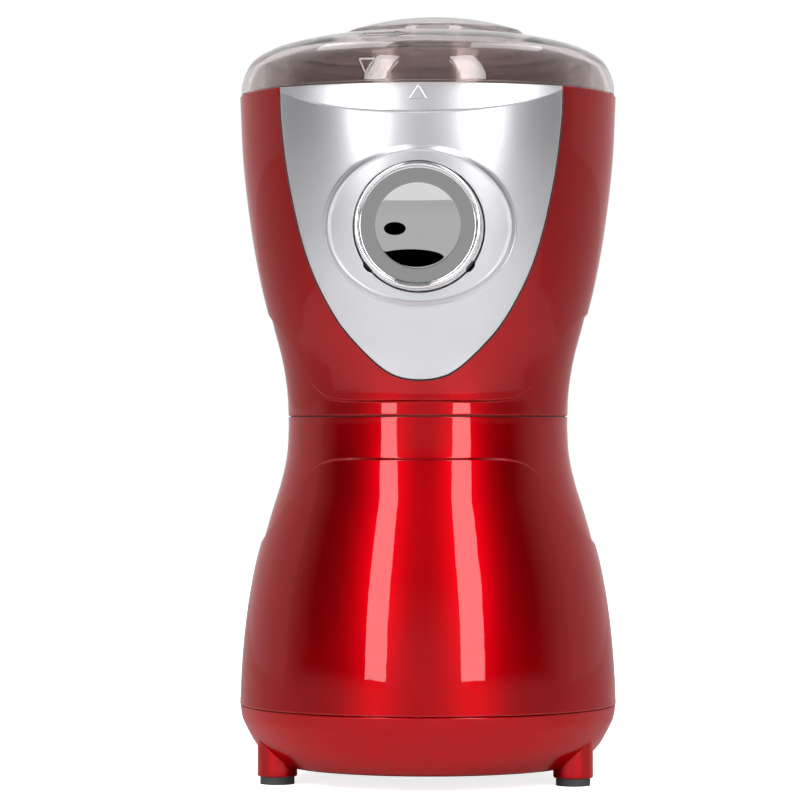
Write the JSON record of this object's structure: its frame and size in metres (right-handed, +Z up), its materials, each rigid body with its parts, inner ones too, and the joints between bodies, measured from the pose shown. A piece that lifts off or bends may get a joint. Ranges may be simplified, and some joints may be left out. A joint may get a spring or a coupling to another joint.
{
  "type": "electric spice grinder",
  "caption": "Hourglass electric spice grinder with a clear twist-on lid, a front push button and a steel grinding cup.",
  "frame": {"origin": "on the table under the body's axis", "axes": "+Z up, -Y towards the user, where the button is"},
  "size_m": [0.0988, 0.0996, 0.2008],
  "materials": {
    "red_shell": "gloss red metallic",
    "silver_panel": "satin silver",
    "chrome_button": "mirror",
    "smoked_clear": "clear smoked",
    "black_rubber": "matt",
    "silicone": "matt",
    "black_plastic": "matt",
    "grey_plastic": "matt",
    "switch_case": "matt",
    "natural_nylon": "satin",
    "cup_steel": "brushed",
    "blade_steel": "ground",
    "shaft_steel": "ground",
    "screw_steel": "zinc",
    "spring_steel": "drawn",
    "zinc_plate": "zinc",
    "lamination": "stacked sheet",
    "copper_winding": "enamelled",
    "copper_bar": "turned",
    "bronze_bush": "sintered",
    "brass": "pressed",
    "carbon": "matt",
    "capacitor_case": "gloss",
    "wire_cover": "satin"
  },
  "bodies": {
    "root": {"upper_housing": "red_shell", "lower_housing": "red_shell", "base_cover": "red_shell", "foot_pads": "black_rubber", "case_screws": "screw_steel", "front_panel": "silver_panel", "panel_screws": "screw_steel", "button_guide": "black_plastic", "button_springs": "spring_steel", "start_switch": "switch_case", "switch_screws": "screw_steel", "interlock_switch": "switch_case", "cup_holder": "grey_plastic", "holder_screws": "screw_steel", "grinding_cup": "cup_steel", "cup_seal": "silicone", "shaft_seal": "black_rubber", "stator_core": "lamination", "field_coils": "copper_winding", "top_bracket": "zinc_plate", "bottom_bracket": "zinc_plate", "shaft_bushes": "bronze_bush", "brush_holders": "brass", "carbon_brushes": "carbon", "brush_springs": "spring_steel", "motor_dampers": "black_rubber", "motor_screws": "screw_steel", "stator_screws": "screw_steel", "cord_grommet": "black_rubber", "terminal_block": "natural_nylon", "suppression_capacitor": "capacitor_case", "lead_wires": "wire_cover"},
    "button": {"start_button": "chrome_button", "button_carrier": "black_plastic"},
    "start_plunger": {"start_plunger": "natural_nylon"},
    "interlock": {"interlock_ring": "natural_nylon"},
    "lock_plunger": {"interlock_plunger": "natural_nylon"},
    "lid": {"lid": "smoked_clear", "lid_gasket": "silicone"},
    "spindle": {"blade": "blade_steel", "blade_spacer": "black_plastic", "blade_nut": "black_plastic", "motor_shaft": "shaft_steel", "rotor_core": "lamination", "armature_windings": "copper_winding", "commutator": "copper_bar", "thrust_washers": "natural_nylon", "cooling_fan": "natural_nylon"}
  },
  "joints": [
    {"name": "button_push", "type": "slide", "parent": "root", "child": "button", "axis": [0, 1, 0], "range_m": [0, 0.0025], "stiffness_N_per_m": 800, "springref_m": -0.0015, "deforming": ["button_springs"]},
    {"name": "start_plunger_slide", "type": "slide", "parent": "root", "child": "start_plunger", "axis": [0, 1, 0], "range_m": [0, 0.0025]},
    {"name": "lid_twist", "type": "hinge", "parent": "root", "child": "interlock", "pos_m": [0, 0, 0.168], "axis": [0, 0, 1], "range_deg": [0, 16.5]},
    {"name": "lock_plunger_slide", "type": "slide", "parent": "root", "child": "lock_plunger", "axis": [0, 0, -1], "range_m": [0, 0.002]},
    {"name": "lid_lift", "type": "slide", "parent": "interlock", "child": "lid", "axis": [0, 0, 1], "range_m": [0, 0.06]},
    {"name": "blade_spin", "type": "hinge", "parent": "root", "child": "spindle", "pos_m": [0, 0, 0.1], "axis": [0, 0, 1], "continuous": true}
  ],
  "couplings": [
    {"joint": "start_plunger_slide", "follows": "button_push", "ratio": 1},
    {"joint": "lock_plunger_slide", "follows": "lid_twist", "m_per_rad": 0.0069}
  ]
}
